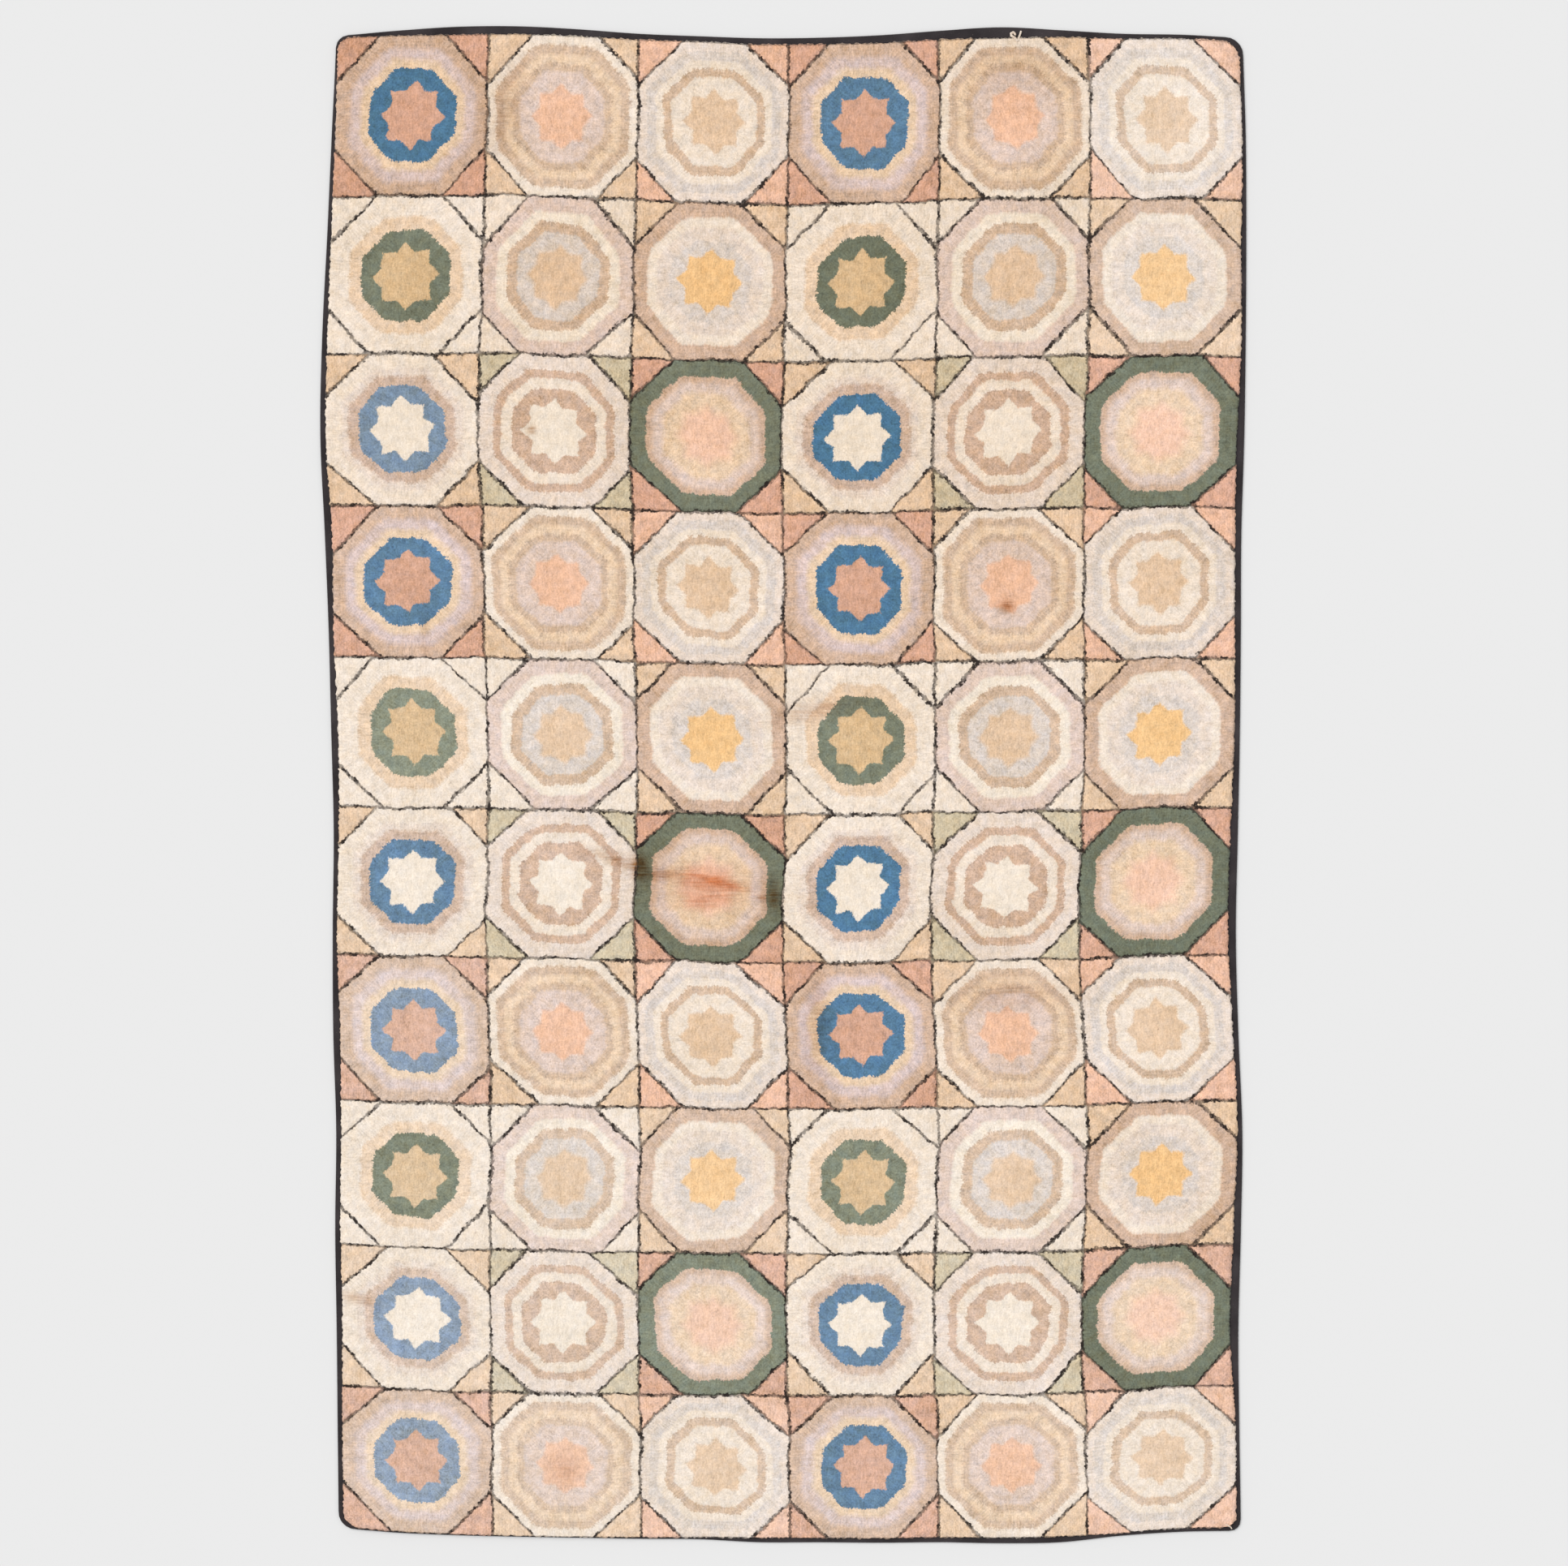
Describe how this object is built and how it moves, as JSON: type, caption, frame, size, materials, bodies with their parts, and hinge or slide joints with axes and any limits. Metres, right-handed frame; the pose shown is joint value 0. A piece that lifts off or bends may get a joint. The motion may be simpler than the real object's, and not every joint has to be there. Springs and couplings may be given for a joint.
{
  "type": "hooked rug",
  "caption": "Long rectangular hooked rug lying flat: dense wool pile on a backing cloth, with a folded cloth tape bound round its edge.",
  "frame": {"origin": "on the floor under the middle of the rug's bounding box", "axes": "+Z up, out of the pile; +Y along the rug's length, towards the end with the widest binding; +X across it, to the right when the rug is seen from above with +Y up"},
  "size_m": [1.865, 3.0564, 0.0116],
  "materials": {
    "wool_pile": "dense sheared wool pile in many soft colours, matt",
    "binding_tape": "black woven cotton tape, matt"
  },
  "bodies": {
    "root": {"hooked_field": "wool_pile", "edge_binding": "binding_tape"}
  },
  "joints": []
}
